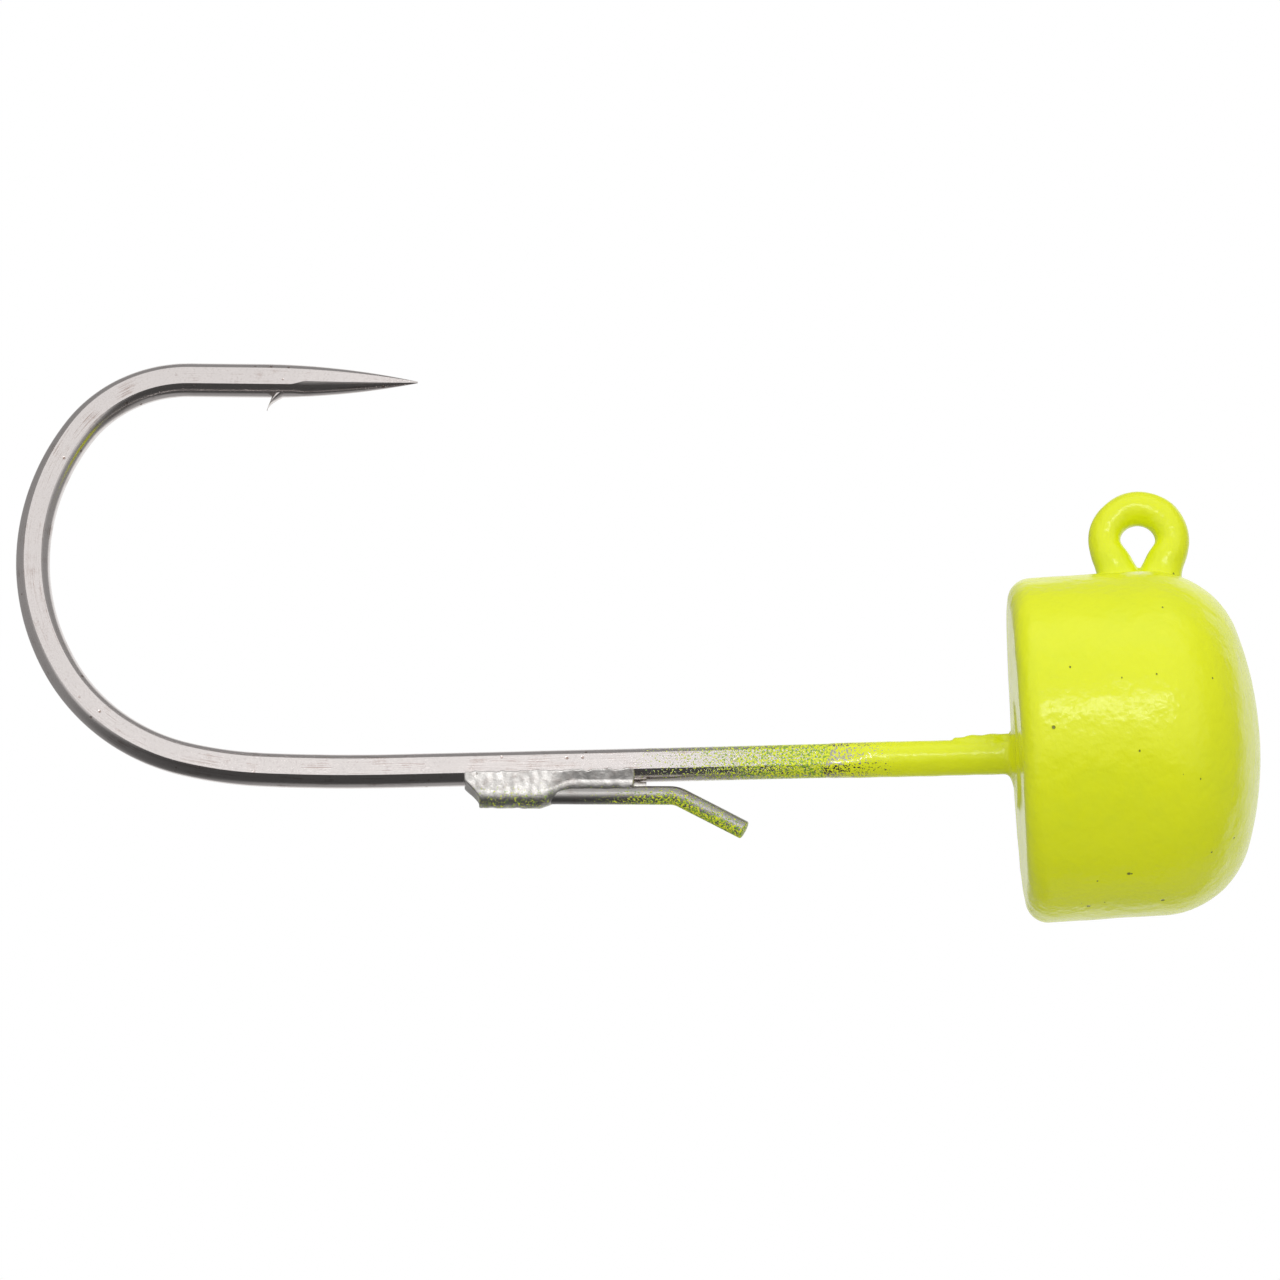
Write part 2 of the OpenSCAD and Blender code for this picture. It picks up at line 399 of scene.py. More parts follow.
def overspray(r, spot, share):
    """1 on the fine specks of overspray that cover about that share of the surface, and 0 between."""
    return r.ease(r.noise(spot, 19.0, 2.0, 0.6) + share * 0.36, 0.67, 0.70) * r.ease(share, 0.0, 0.12)


def dust_colour_with_painted_shade(r, spot):
    """Overspray specks run from a darker green, which is painted shade, to full yellow-green."""
    return r.mix(r.ease(r.noise(spot, 14.0, 2.0), 0.38, 0.58), finishes().dust, finishes().coat)


def hook_material():
    """Plated, forged hook wire, dusted with overspray towards the head."""
    made = material("hook_wire")
    r = Recipe(made)
    spot, base, rough, relief = wire_shading(r, finishes().plating, finishes().tarnish, 0.15, 0.68)
    ahead = r.part(spot, 0) + head_sizes().setback
    cover = r.add("ShaderNodeMapRange", Value=ahead + 1.0 * r.noise(spot, 1.3, 2.0), From_Min=-11.1, From_Max=-4.0)
    dust = overspray(r, spot, cover)
    # The overspray specks take a colour that is partly painted shade.
    shade = r.add(
        "ShaderNodeBsdfPrincipled",
        Base_Color=r.mix(dust, base, dust_colour_with_painted_shade(r, spot)),
        Metallic=1.0 - dust,
        Roughness=rough + dust * 0.2,
        Normal=r.bump(relief * 0.35 + dust, 0.012, 0.5),
    )
    r.finish(shade)
    return made


def keeper_material():
    """Bright drawn keeper wire, dusted with coat on its underside."""
    made = material("keeper_wire")
    r = Recipe(made)
    spot, base, rough, relief = wire_shading(r, [c * 0.65 for c in finishes().solder], finishes().tarnish, 0.36, 0.8)
    under = r.part(r.add("ShaderNodeNewGeometry", output=1), 2)
    forward = r.ease(r.part(spot, 0) + head_sizes().setback, -13.5, -9.5)
    dust = overspray(r, spot, forward * (0.36 - 0.40 * under))
    # The overspray specks take a colour that is partly painted shade.
    shade = r.add(
        "ShaderNodeBsdfPrincipled",
        Base_Color=r.mix(dust, base, dust_colour_with_painted_shade(r, spot)),
        Metallic=1.0 - dust,
        Roughness=rough + dust * 0.2,
        Normal=r.bump(relief * 0.5 + dust, 0.012, 0.6),
    )
    r.finish(shade)
    return made


def solder_material():
    """Lumpy bright solder with small flux pits."""
    made = material("solder")
    r = Recipe(made)
    spot = r.place()
    lumps = r.noise(spot, 2.4, 3.0, 0.6)
    grain = r.noise(spot, 14.0, 2.0, 0.6)
    pits = r.spots(spot, 2.6, 0.10)
    dust = overspray(r, spot, 0.06 - 0.4 * (r.part(spot, 2) - shank_height() + 0.7))
    # The overspray specks take a colour that is partly painted shade.
    shade = r.add(
        "ShaderNodeBsdfPrincipled",
        Base_Color=r.mix(
            dust,
            r.mix(r.ease(lumps * 0.6 + grain * 0.4, 0.45, 0.75) * 0.4 + pits * 0.4, finishes().solder, finishes().tarnish),
            dust_colour_with_painted_shade(r, spot),
        ),
        Metallic=1.0 - dust,
        Roughness=0.34 + 0.16 * lumps,
        Normal=r.bump(lumps + grain * 0.2 - pits * 0.6, 0.04, 0.6),
    )
    r.finish(shade)
    return made


def lead_material():
    """Dull as-cast lead under the coat."""
    made = material("cast_lead")
    r = Recipe(made)
    spot = r.place()
    grain = r.noise(spot, 3.0, 5.0, 0.65)
    shade = r.add(
        "ShaderNodeBsdfPrincipled",
        Base_Color=r.mix(grain, finishes().lead, (0.42, 0.43, 0.45)),
        Metallic=1.0,
        Roughness=0.45 + 0.25 * grain,
        Normal=r.bump(grain, 0.05, 0.6),
    )
    r.finish(shade)
    return made


# ---- meshes ----


def mesh_piece(name, points_mm, faces, made, replaced, layers=None):
    """Makes a smooth-shaded piece of the object that rides on the body and stands for a CAD node."""
    mesh = bpy.data.meshes.new(name)
    mesh.from_pydata([tuple(p) for p in np.asarray(points_mm) * MM], [], [tuple(map(int, f)) for f in faces])
    for key, values in (layers or {}).items():
        layer = mesh.attributes.new(key, "FLOAT", "POINT")
        layer.data.foreach_set("value", np.asarray(values, np.float32))
    mesh.validate()
    mesh.shade_smooth()
    mesh.materials.append(made)
    piece = bpy.data.objects.new(name, mesh)
    bpy.context.scene.collection.objects.link(piece)
    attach(piece, BODY)
    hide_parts(replaced)
    return piece


class Run:
    """A wire's centreline in the hook plane: straights and arcs joined end to end."""

    def __init__(self, x, z, heading):
        self.start = np.array([x, z], float)
        self.heading = heading
        self.legs = []

    def straight(self, reach):
        return self.arc(reach, 0.0)

    def bend(self, radius, turned):
        """An arc that turns left by a positive angle or right by a negative one."""
        return self.arc(radius * abs(turned), turned)

    def arc(self, reach, turned):
        self.legs.append((reach, turned))
        return self

    @property
    def reach(self):
        return sum(leg[0] for leg in self.legs)

    def at(self, distances):
        """Places and headings at these distances along the run."""
        places = np.zeros((len(distances), 2))
        headings = np.zeros(len(distances))
        spot, heading, begun = self.start.copy(), self.heading, 0.0
        for reach, turned in self.legs:
            here = (distances >= begun - 1e-9) & (distances <= begun + reach + 1e-9)
            share = (distances[here] - begun) / reach
            places[here] = spot + self.chord(heading, reach, turned, share)
            headings[here] = heading + turned * share
            spot = spot + self.chord(heading, reach, turned, np.array([1.0]))[0]
            heading += turned
            begun += reach
        return places, headings

    @staticmethod
    def chord(heading, reach, turned, share):
        if abs(turned) < 1e-9:
            return (share * reach)[:, None] * np.array([math.cos(heading), math.sin(heading)])
        radius = reach / turned
        ahead = heading + turned * share
        return radius * np.stack([np.sin(ahead) - math.sin(heading), math.cos(heading) - np.cos(ahead)], 1)


def soft_least(a, b, blend):
    """The smaller of two fields, with the corner between them rounded over."""
    h = np.clip(0.5 + 0.5 * (b - a) / blend, 0, 1)
    return b + (a - b) * h - blend * h * (1 - h)


def soft_most(a, b, blend):
    return -soft_least(-a, -b, blend)


def ease(value, low, high):
    """0 to 1 as the value goes smoothly from low to high."""
    share = np.clip((value - low) / (high - low), 0, 1)
    return share * share * (3 - 2 * share)


def waves(points, size, seed):
    """Smooth repeatable lumps between about -1 and 1, of about that size."""
    dice = np.random.default_rng(seed)
    total = 0.0
    for _ in range(7):
        direction = dice.normal(size=3)
        direction *= 2 * math.pi / size / np.linalg.norm(direction) * dice.uniform(0.6, 1.5)
        total = total + np.sin(points @ direction + dice.uniform(0, 2 * math.pi))
    return total / 3.2


def section_angles(sides, corner):
    """Angles round a wire's section, with a point exactly at each of the four corners of its flats."""
    quarter = sides // 4
    inner = max(2, round(quarter * corner / (math.pi / 2)))
    steps = [np.linspace(0, corner, inner + 1)[:-1], np.linspace(corner, math.pi / 2, quarter - inner + 1)[:-1]]
    first = np.concatenate(steps)
    half = np.concatenate([first, [math.pi / 2], math.pi - first[:0:-1]])
    return np.concatenate([half, half + math.pi])


def sweep(run, distances, radius, flat, sides, corner, wobble=0.0):
    """Points and faces of a wire along a run. Radius and flat are values for each distance."""
    places, headings = run.at(distances)
    angles = section_angles(sides, corner)
    sides = len(angles)
    across, outward = np.sin(angles), np.cos(angles)
    limit = flat[:, None] / np.maximum(np.abs(across), 1e-6)[None, :]
    reach = np.minimum(radius[:, None], limit)
    points = np.zeros((len(distances), sides, 3))
    points[..., 0] = places[:, :1] - np.sin(headings)[:, None] * reach * outward
    points[..., 2] = places[:, 1:] + np.cos(headings)[:, None] * reach * outward
    points[..., 1] = reach * across
    points = points.reshape(-1, 3)
    if wobble:
        points += wobble * np.stack([waves(points, 2.5, seed) for seed in (3, 4, 5)], 1)
    faces = []
    for i in range(len(distances) - 1):
        for j in range(sides):
            k = (j + 1) % sides
            faces.append((i * sides + j, i * sides + k, (i + 1) * sides + k, (i + 1) * sides + j))
    last = (len(distances) - 1) * sides
    faces.append(tuple(range(sides))[::-1])
    faces.append(tuple(last + j for j in range(sides)))
    layers = {
        "run": np.repeat(distances, sides),
        "around": np.tile(np.cos(angles), len(distances)),
    }
    return points, faces, layers


def shell(field, low, high, step):
    """Points and faces of the surface where a field of distances is zero, found cell by cell."""
    axes = [np.arange(a, b + step, step) for a, b in zip(low, high)]
    grid = np.stack(np.meshgrid(*axes, indexing="ij"), -1)
    value = field(grid.reshape(-1, 3)).reshape(grid.shape[:3])
    inside = value < 0
    cells = tuple(n - 1 for n in value.shape)
    total, count = np.zeros((*cells, 3)), np.zeros(cells)
    for axis in range(3):
        for a in (0, 1):
            for b in (0, 1):
                corner = [0, 0, 0]
                corner[(axis + 1) % 3], corner[(axis + 2) % 3] = a, b
                near = tuple(slice(c, c + n) for c, n in zip(corner, cells))
                corner[axis] = 1
                far = tuple(slice(c, c + n) for c, n in zip(corner, cells))
                crossed = inside[near] != inside[far]
                share = value[near][crossed] / (value[near][crossed] - value[far][crossed])
                total[crossed] += grid[near][crossed] + share[:, None] * (grid[far][crossed] - grid[near][crossed])
                count[crossed] += 1
    mixed = count > 0
    points = total[mixed] / count[mixed][:, None]
    number = -np.ones(cells, int)
    number[mixed] = np.arange(len(points))
    faces = []
    for axis in range(3):
        u, v = np.eye(3, dtype=int)[(axis + 1) % 3], np.eye(3, dtype=int)[(axis + 2) % 3]
        ahead = np.eye(3, dtype=int)[axis]
        here = inside[: cells[0], : cells[1], : cells[2]]
        there = inside[ahead[0] : cells[0] + ahead[0], ahead[1] : cells[1] + ahead[1], ahead[2] : cells[2] + ahead[2]]
        where = np.argwhere(here != there)
        where = where[(where @ u > 0) & (where @ v > 0)]
        quads = np.stack([number[tuple((where - d).T)] for d in (u + v, v, 0 * u, u)], 1)
        flip = ~here[tuple(where.T)]
        quads[flip] = quads[flip][:, ::-1]
        faces.append(quads)
    nudge = step * 0.2
    for _ in range(2):
        slope = np.stack(
            [(field(points + nudge * e) - field(points - nudge * e)) / (2 * nudge) for e in np.eye(3)], 1
        )
        size = np.maximum((slope**2).sum(1), 0.25)
        move = (field(points) / size)[:, None] * slope
        points = points - np.clip(move, -step / 2, step / 2)
    return points, np.concatenate(faces)


# ---- hook ----


def shank_height():
    """Height of the shank's axis, below the eye's centre."""
    s = head_sizes()
    return -(s.lift + s.setback * math.tan(s.tilt) + s.head_d / 2 / math.cos(s.tilt) + s.stand)


def hook_run():
    """The hook's centreline from inside the head back round the bend to the tip of the point."""
    s = hook_sizes()
    run = Run(-head_sizes().setback + HOOK_ROOT, shank_height(), math.pi)
    run.straight(HOOK_ROOT + s.shank)
    for name in ("heel", "lower", "back", "crown", "spear"):
        run.bend(getattr(s, name + "_r"), -getattr(s, name + "_turn"))
    return run.straight(s.spear)


HOOK_ROOT = 1.5  # length of shank that the mesh carries on inside the head
TIP_R = 0.022  # radius left at the tip of the point
WIRE_SIDES = 96
SHARP = math.radians(22)  # faces that meet at more than this keep a crisp edge


def point_radius(ahead_of_tip):
    """Radius of the needle point at a distance back from its tip: a round ogive."""
    s = hook_sizes()
    full = s.wire_d / 2
    ogive = (s.point**2 + full**2 - TIP_R**2) / (2 * (full - TIP_R))
    back = np.minimum(ahead_of_tip, s.point)
    return np.sqrt(ogive**2 - (s.point - back) ** 2) - (ogive - full)


def tip_frame(run):
    """Tip of the point, the direction that it points in, and the direction to its inner side."""
    tip, heading = run.at(np.array([run.reach]))
    ahead = np.array([math.cos(heading[0]), 0, math.sin(heading[0])])
    inner = np.array([ahead[2], 0, -ahead[0]])
    return np.array([tip[0, 0], 0, tip[0, 1]]), ahead, inner


def file_point(points, run):
    """Files the lower corners of the flats off ahead of the barb, fading out to the tip."""
    s = hook_sizes()
    tip, ahead, inner = tip_frame(run)
    offset = points - tip
    back, depth = -offset @ ahead, offset @ inner
    begun = s.barb_back - 0.66
    share = np.clip(back / (begun - 0.5), 0, 1) * (1 - ease(back, begun - 0.5, begun))
    corner = 0.26 * point_radius(np.clip(back, 0, None)) / (s.wire_d / 2)
    near = np.clip(1 - np.abs(depth - corner) / (0.9 * corner), 0, 1)
    return points - (0.10 * share * near)[:, None] * inner


def barb_mesh(run):
    """The barb: a thorn with a hollow front and a straight back, leaning back off the point."""
    s = hook_sizes()
    tip, ahead, inner = tip_frame(run)
    root, rise = s.wire_d / 2 - 0.16, s.wire_d / 2 + s.barb_rise
    steps, sides = 16, 16
    rows = []
    for share in np.linspace(0, 1, steps):
        front = s.barb_back - 0.80 * (1 - share) ** 1.9 - 0.012
        rear = s.barb_back - 0.20 * (1 - share) + 0.012
        up = root + (rise - root) * share
        half = 0.24 * (1 - share) ** 0.75 + 0.02
        for k in range(sides):
            a = 2 * math.pi * k / sides
            back = (front + rear) / 2 + (rear - front) / 2 * math.cos(a)
            rows.append(tip - ahead * back + inner * up + np.array([0, half * math.sin(a), 0]))
    faces = [
        (i * sides + j, i * sides + (j + 1) % sides, (i + 1) * sides + (j + 1) % sides, (i + 1) * sides + j)
        for i in range(steps - 1)
        for j in range(sides)
    ]
    faces += [tuple(range(sides))[::-1], tuple((steps - 1) * sides + j for j in range(sides))]
    return np.array(rows), faces


def fuse(piece, points_mm, faces):
    """Unites a closed mesh with a piece."""
    mesh = bpy.data.meshes.new("tool")
    mesh.from_pydata([tuple(p) for p in points_mm * MM], [], faces)
    shape = bmesh.new()
    shape.from_mesh(mesh)
    bmesh.ops.recalc_face_normals(shape, faces=shape.faces)
    shape.to_mesh(mesh)
    shape.free()
    tool = bpy.data.objects.new("tool", mesh)
    bpy.context.scene.collection.objects.link(tool)
    change = piece.modifiers.new("unite", "BOOLEAN")
    change.operation, change.solver, change.object = "UNION", "EXACT", tool
    ready = piece.evaluated_get(bpy.context.evaluated_depsgraph_get())
    result = bpy.data.meshes.new_from_object(ready)
    piece.modifiers.clear()
    old, piece.data = piece.data, result
    bpy.data.meshes.remove(old)
    bpy.data.objects.remove(tool)
    result.shade_smooth()
    result.set_sharp_from_angle(angle=SHARP)


class JIG_OT_hook(bpy.types.Operator):
    """Builds the forged hook, from the head round the bend to its point and barb"""

    bl_idname = "jig.hook"
    bl_label = "Hook"

    def execute(self, context):
        s = hook_sizes()
        run = hook_run()
        point_from = run.reach - s.point
        distances = np.unique(
            np.concatenate(
                [
                    np.linspace(0, point_from, 380),
                    np.linspace(point_from, run.reach - 0.25, 110),
                    run.reach - 0.25 * np.linspace(1, 0, 14) ** 2,
                ]
            )
        )
        radius = point_radius(run.reach - distances)
        radius[-1] = TIP_R * 0.6
        forged = ease(distances, HOOK_ROOT + 0.4, HOOK_ROOT + 1.6)
        flat = radius * (1 + 0.15 * (1 - forged) - forged * (1 - s.forged_t / s.wire_d))
        corner = math.asin(s.forged_t / s.wire_d)
        points, faces, layers = sweep(run, distances, radius, flat, WIRE_SIDES, corner, 0.0015)
        points = file_point(points, run)
        made = hook_material()
        piece = mesh_piece("forged_hook", points, faces, made, "hook", layers)
        fuse(piece, *barb_mesh(run))
        return {"FINISHED"}


# ---- head, eye and neck under one coat ----


def head_field(points):
    """Distance to the head's outer form."""
    s = head_sizes()
    across, up = points[:, 1], points[:, 2] - shank_height() - s.lift
    ahead = points[:, 0] + s.setback
    along = ahead * math.cos(s.tilt) + up * math.sin(s.tilt)
    up = up * math.cos(s.tilt) - ahead * math.sin(s.tilt)
    out = np.hypot(across, up)
    half = s.head_d / 2
    nose = s.head_l - s.side
    ring = half - s.shoulder_r
    dome = (nose**2 + ring**2 - s.shoulder_r**2) / (2 * (nose - s.shoulder_r))
    centre = s.head_l - dome
    past = (along - s.side) * ring - (out - ring) * (s.side - centre) > 0
    front = np.where(
        past,
        np.hypot(out, along - centre) - dome,
        np.hypot(out - ring, along - s.side) - s.shoulder_r,
    )
    chip = 0.10 * ease(-up, 3.2, 4.8) * ease(waves(points, 3.0, 21), -0.6, 0.5)
    edge = s.back_edge_r + chip
    over, behind = out - (half - edge), edge - along
    outside = np.hypot(np.maximum(over, 0), np.maximum(behind, 0))
    back = outside + np.minimum(np.maximum(over, behind), 0) - edge
    field = np.where(along > s.side, front, back)
    return field + 0.012 * waves(points, 4.5, 11) + 0.004 * waves(points, 1.3, 12) + 0.05 * chip


def segment_field(points, start, end):
    """Distance to a straight line between two points."""
    start, end = np.array(start, float), np.array(end, float)
    line = end - start
    share = np.clip((points - start) @ line / (line @ line), 0, 1)
    return np.linalg.norm(points - start - share[:, None] * line, axis=1)


def eye_field(points):
    """Distance to the coated eye: a ring whose two sides run down to the head in a V."""
    s = head_sizes()
    x, y, z = points.T
    wire = s.ring_wire_d / 2 + 0.022 * np.clip(z, 0, 1.5) + 0.02 * np.clip(x, -1, 1)
    ring = np.hypot(np.hypot(x, z) - s.ring_r, y)
    low = (np.abs(np.arctan2(x, -z)) < math.pi / 2 - s.spread) & (z < 0)
    ring = np.where(low, 9.0, ring)
    foot = -s.ring_r / math.sin(s.spread)
    for side in (-1, 1):
        top = (side * s.ring_r * math.cos(s.spread), 0, -s.ring_r * math.sin(s.spread))
        ring = np.minimum(ring, segment_field(points, (0, 0, foot), top))
    eye = ring - wire + 0.03 * ease(-z, 0.45, 0.95)
    for side in (-1, 1):
        pool = segment_field(points, (side * 0.80, 0, -0.60), (side * 0.80, 0, -s.stand - 0.2)) - 0.44
        eye = soft_least(eye, pool, 0.30)
    return eye + 0.006 * waves(points, 0.9, 31)


def neck_field(points):
    """Distance to the coated neck: shank film, collar and the thick run of coat on its top."""
    s, wire = head_sizes(), hook_sizes()
    ahead = points[:, 0] + s.setback
    y, z = points[:, 1], points[:, 2] - shank_height()
    out = np.hypot(y, z)
    edge = ahead + s.film_l + 0.35 * waves(points, 0.9, 41)
    film = s.film_t * ease(edge, -0.5, 0.6) - 0.05 * (1 - ease(edge, -0.6, 0.1)) + 0.004 * waves(points, 0.8, 42)
    forged = 1 - ease(ahead, -5.2, -3.6)
    flat = wire.wire_d / 2 * 1.1 * (1 - forged) + wire.forged_t / 2 * forged
    sleeve = soft_most(out - wire.wire_d / 2 - film, np.abs(y) - flat - film, 0.03)
    sleeve = np.maximum(sleeve, np.maximum(ahead - 1.0, -ahead - s.film_l - 1.2))
    fall = np.clip((s.collar_r - out) / (s.collar_r - wire.wire_d / 2), 0, 1)
    collar = np.maximum(-(ahead + s.collar_h * fall**1.6), out - s.collar_r)
    collar = np.maximum(collar, ahead - 0.5)
    ragged = 0.02 * waves(points, 0.5, 43)
    top, back = shank_height(), -s.setback
    ridge = segment_field(points, (back - 1.75, -0.10, top + 0.33), (back, -0.06, top + 0.37))
    lip = ridge - 0.31 * ease(ahead, -2.7, -1.2) ** 0.5 - ragged
    web = segment_field(points, (back - 0.75, -0.26, top + 0.26), (back, -0.36, top + 0.06)) - 0.235 - ragged
    return sleeve, collar, np.minimum(lip, web)


def coat_field(points):
    """Distance to the whole coated surface."""
    sleeve, collar, lip = neck_field(points)
    body = soft_least(head_field(points), collar, 0.25)
    body = soft_least(body, sleeve, 0.16)
    body = soft_least(body, lip, 0.02)
    return soft_least(body, eye_field(points), 0.42)


class JIG_OT_coat(bpy.types.Operator):
    """Builds the powder coat over head, line eye and neck as one skin"""

    bl_idname = "jig.coat"
    bl_label = "Powder coat"

    def execute(self, context):
        low, high = (np.array(corner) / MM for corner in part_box("powder_coat"))
        step = 0.08
        points, faces = shell(coat_field, low - 2 * step - 0.5, high + 2 * step + 0.2, step)
        mesh_piece("coated_head", points, faces, coat_material(), "powder_coat")
        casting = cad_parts["head_casting"]
        casting.data.materials.clear()
        casting.data.materials.append(lead_material())
        return {"FINISHED"}


# ---- bait keeper and solder ----


def keeper_run():
    """The keeper's centreline from its rear end under the shank to its free end."""
    s = keeper_sizes()
    drop = hook_sizes().wire_d / 2 + s.wire_d / 2 + s.gap
    run = Run(-head_sizes().setback - s.rear, shank_height() - drop, -s.fall)
    return run.straight(s.straight).bend(s.bend_r, -s.bend).straight(s.tip)


class JIG_OT_keeper(bpy.types.Operator):
    """Builds the bent wire that holds the bait on the shank"""

    bl_idname = "jig.keeper"
    bl_label = "Bait keeper"

    def execute(self, context):
        run = keeper_run()
        round_over = 0.05
        ends = round_over * np.linspace(0, 1, 5)
        distances = np.unique(np.concatenate([ends, np.linspace(round_over, run.reach - round_over, 120), run.reach - ends]))
        to_end = np.minimum(distances, run.reach - distances)
        full = keeper_sizes().wire_d / 2
        lost = round_over - np.sqrt(np.maximum(round_over**2 - np.maximum(round_over - to_end, 0) ** 2, 0))
        radius = full - lost
        points, faces, layers = sweep(run, distances, radius, radius * 1.2, 48, math.pi / 4, 0.003)
        mesh_piece("bait_keeper", points, faces, keeper_material(), "keeper_wire", layers)
        return {"FINISHED"}


def solder_field(points):
    """Distance to the solder: one lump from the shank's lower corner down over the keeper."""
    s, wire = keeper_sizes(), hook_sizes()
    along = points[:, 0] + head_sizes().setback + s.rear
    y, z = points[:, 1], points[:, 2] - shank_height()
    rough, fine = waves(points, 0.8, 51), waves(points, 0.3, 52)
    drop = wire.wire_d / 2 + s.wire_d / 2 + s.gap + along * math.tan(s.fall)
    bare = ease(along, 1.7, 2.8)
    low = drop - 0.36 * bare
    share = np.clip((-z - 0.2) / (low - 0.2), 0, 1)
    lump = np.hypot(y, np.where(-z > low, -z - low, np.maximum(0.2 + z, 0))) - (0.515 - (0.12 + 0.05 * bare) * share)
    lump = lump - 0.010 * rough - 0.007 * fine
    lump = soft_most(lump, z + 0.24 + 0.02 * fine + 0.02 * rough, 0.05)
    flare = 0.42 * ease(-z, 0.45, 1.05) ** 0.7
    lump = soft_most(lump, flare - s.solder_lead - along, 0.05)
    reach = s.solder_l - s.solder_lead - 0.35 - 0.06 * rough
    ended = soft_most(lump, along - reach, 0.12)
    web = np.hypot(y, z + drop - 0.28) - 0.14 - 0.02 * rough
    web = soft_most(web, np.abs(along - 3.0) - 2.35, 0.2)
    return soft_least(ended, web, 0.1)


class JIG_OT_solder(bpy.types.Operator):
    """Builds the solder between keeper and shank"""

    bl_idname = "jig.solder"
    bl_label = "Solder"

    def execute(self, context):
        low, high = (np.array(corner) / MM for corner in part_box("solder_joint"))
        step = 0.03
        points, faces = shell(solder_field, low - 0.15, high + 0.15, step)
        mesh_piece("keeper_solder", points, faces, solder_material(), "solder_joint")
        return {"FINISHED"}


# ---- studio ----

LENS_MM = 500.0
SENSOR_MM = 36.0
VIEW_WIDTH = 37.76  # width of the view at the hook, in millimetres
VIEW_AIM = (-11.005, 0.0, 3.923)  # from the middle of the back face
VIEW_ELEVATION = math.radians(-20.0)
VIEW_ROLL = math.radians(1.364)
FLOOR_DROP = 190.0


def view_centre():
    """The middle of the view, in millimetres."""
    return Vector(VIEW_AIM) + Vector((-head_sizes().setback, 0, shank_height()))


def add_camera():
    """A long lens looking slightly up at the hanging jig, level with nothing in the studio."""
    camera = bpy.data.cameras.new("camera")
    camera.lens, camera.sensor_width = LENS_MM, SENSOR_MM
    camera.clip_start, camera.clip_end = 0.01, 10.0
    holder = bpy.data.objects.new("camera", camera)
    bpy.context.scene.collection.objects.link(holder)
    ahead = Vector((0, math.cos(VIEW_ELEVATION), -math.sin(VIEW_ELEVATION)))
    level, upward = Vector((1, 0, 0)), Vector((0, math.sin(VIEW_ELEVATION), math.cos(VIEW_ELEVATION)))
    right = level * math.cos(VIEW_ROLL) - upward * math.sin(VIEW_ROLL)
    up = level * math.sin(VIEW_ROLL) + upward * math.cos(VIEW_ROLL)
    distance = VIEW_WIDTH * LENS_MM / SENSOR_MM
    spot = (view_centre() - ahead * distance) * MM
    turned = Matrix((right, up, -ahead)).transposed().to_4x4()
    holder.matrix_world = Matrix.Translation(spot) @ turned
    bpy.context.scene.camera = holder


def add_softbox(name, toward, distance_mm, width_mm, height_mm, power):
    """A rectangular soft light that faces the jig from a direction."""
    lamp = bpy.data.lights.new(name, "AREA")
    lamp.shape, lamp.size, lamp.size_y, lamp.energy = "RECTANGLE", width_mm * MM, height_mm * MM, power
    holder = bpy.data.objects.new(name, lamp)
    bpy.context.scene.collection.objects.link(holder)
    direction = Vector(toward).normalized()
    holder.location = (view_centre() + direction * distance_mm) * MM
    holder.rotation_euler = direction.to_track_quat("Z", "Y").to_euler()
    return holder


def add_world():
    """A white sweep behind, a bright window in front, dim sides and dark below the front, all soft."""
    world = bpy.data.worlds.new("studio")
    bpy.context.scene.world = world
    r = Recipe(world)
    direction = r.add("ShaderNodeTexCoord", output=0)
    x, y, z = (r.part(direction, axis) for axis in range(3))
    level = (1.0 - z * z).root()

    def profile(*stops):
        return r.add("ShaderNodeValToRGB", {"stops": [((up + 1) / 2, shade) for up, shade in stops]}, Fac=z * 0.5 + 0.5)

    front = profile((-1, 0.07), (-0.64, 0.07), (-0.5, 0.25), (-0.36, 0.92), (0.94, 0.92), (0.98, 0.40), (1, 0.34))
    back = profile((-1, 0.07), (-0.93, 0.07), (-0.86, 0.42), (-0.4, 0.45), (-0.26, 1.15), (0.7, 1.15), (0.85, 0.34), (1, 0.34))
    side = profile((-1, 0.07), (-0.6, 0.15), (-0.3, 0.30), (0.3, 0.34), (1, 0.32))
    sweep = 0.94 * y + 0.34 * x - level * 0.84
    around = r.mix(r.ease(sweep, -0.10, 0.10), side, back)
    ambient = r.mix(r.ease(y + level * 0.5, 0.15, -0.15), around, front)
    soft = r.add("ShaderNodeBackground", Color=ambient, Strength=1.0)
    white = r.add("ShaderNodeBackground", Color=(1, 1, 1, 1), Strength=1.0)
    camera_ray, glossy_ray, clear_ray = (r.add("ShaderNodeLightPath", output=kind) for kind in (0, 3, 6))
    backdrop = r.ease(sweep, -0.10, 0.10) * r.ease(y + level * 0.5, -0.15, 0.15)
    backdrop = backdrop * r.ease(z, -0.40, -0.26) * r.ease(z, 0.85, 0.70)
    seen = camera_ray.at_least(glossy_ray.at_least(clear_ray) * backdrop)
    shown = r.add("ShaderNodeMixShader", in0=seen, in1=soft, in2=white)
    out = r.tree.nodes.new("ShaderNodeOutputWorld")
    r.tree.links.new(shown.socket, out.inputs["Surface"])


def floor_material():
    """Matt pale floor with a trace of mottle."""
    made = material("floor")
    r = Recipe(made)
    mottle = r.noise(r.place(), 0.02, 2.0)
    pale = finishes().floor
    shade = r.add(
        "ShaderNodeBsdfPrincipled",
        Base_Color=r.mix(mottle, pale, [c * 0.985 for c in pale]),
        Roughness=0.9,
    )
    white = r.add("ShaderNodeEmission", Color=(1, 1, 1, 1), Strength=1.0)
    r.finish(r.add("ShaderNodeMixShader", in0=r.add("ShaderNodeLightPath") * 0.5, in1=shade, in2=white))
    return made


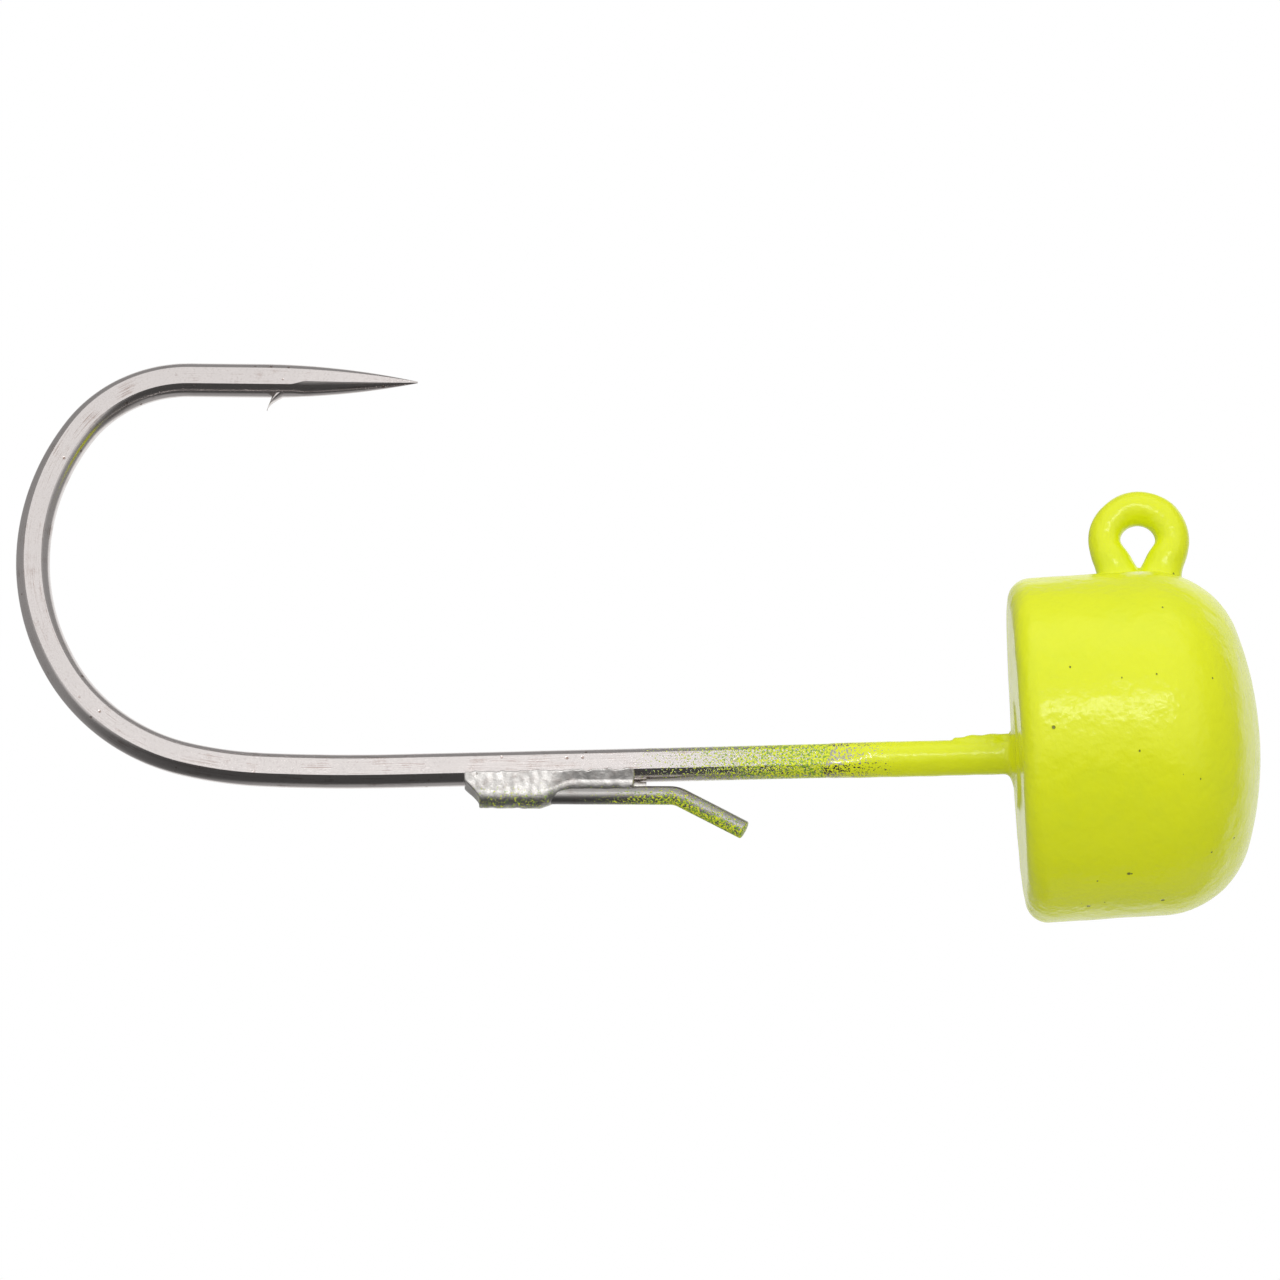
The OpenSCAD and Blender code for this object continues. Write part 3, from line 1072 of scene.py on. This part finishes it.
def add_floor():
    """A wide disc well below the jig, which hangs from its eye."""
    radius, sides = 900.0 * MM, 96
    mesh = bpy.data.meshes.new("floor")
    height = CAD_BOX[0].z - FLOOR_DROP * MM
    ring = [
        (radius * math.cos(2 * math.pi * i / sides), radius * math.sin(2 * math.pi * i / sides), height)
        for i in range(sides)
    ]
    mesh.from_pydata(ring, [], [tuple(range(sides))])
    mesh.materials.append(floor_material())
    floor = bpy.data.objects.new("floor", mesh)
    bpy.context.scene.collection.objects.link(floor)
    floor.visible_glossy = False


class JIG_OT_stage(bpy.types.Operator):
    """Sets up the camera, soft lights, white surroundings and pale floor"""

    bl_idname = "jig.stage"
    bl_label = "Stage"

    def execute(self, context):
        context.scene.view_settings.view_transform = "Standard"
        add_camera()
        add_world()
        add_floor()
        add_softbox("key", (0.16, -0.98, 0.115), 260, 140, 26, 0.10)
        overhead = add_softbox("overhead", (0.05, -0.35, 0.94), 300, 260, 260, 0.20)
        overhead.visible_glossy = False
        return {"FINISHED"}


class JIG_PT_panel(bpy.types.Panel):
    """Lists the pieces of the jig head and its settings"""

    bl_idname = "JIG_PT_panel"
    bl_label = "Jig head"
    bl_space_type = "VIEW_3D"
    bl_region_type = "UI"
    bl_category = "Jig head"

    def draw(self, context):
        for maker in MAKERS:
            self.layout.operator(maker.bl_idname)
        settings = context.scene.jig_head
        for group in (settings.hook, settings.head, settings.keeper, settings.finish):
            box = self.layout.box()
            for name in group.__annotations__:
                box.prop(group, name)


GROUPS = (HookSizes, HeadSizes, KeeperSizes, Finishes, JigHead)
MAKERS = (JIG_OT_hook, JIG_OT_coat, JIG_OT_keeper, JIG_OT_solder, JIG_OT_stage)


def register():
    for kind in (*GROUPS, *MAKERS, JIG_PT_panel):
        bpy.utils.register_class(kind)
    bpy.types.Scene.jig_head = PointerProperty(type=JigHead)


def unregister():
    del bpy.types.Scene.jig_head
    for kind in reversed((*GROUPS, *MAKERS, JIG_PT_panel)):
        bpy.utils.unregister_class(kind)


def main():
    register()
    bpy.ops.jig.hook()
    bpy.ops.jig.coat()
    bpy.ops.jig.keeper()
    bpy.ops.jig.solder()
    bpy.ops.jig.stage()


if __name__ == "__main__":
    main()
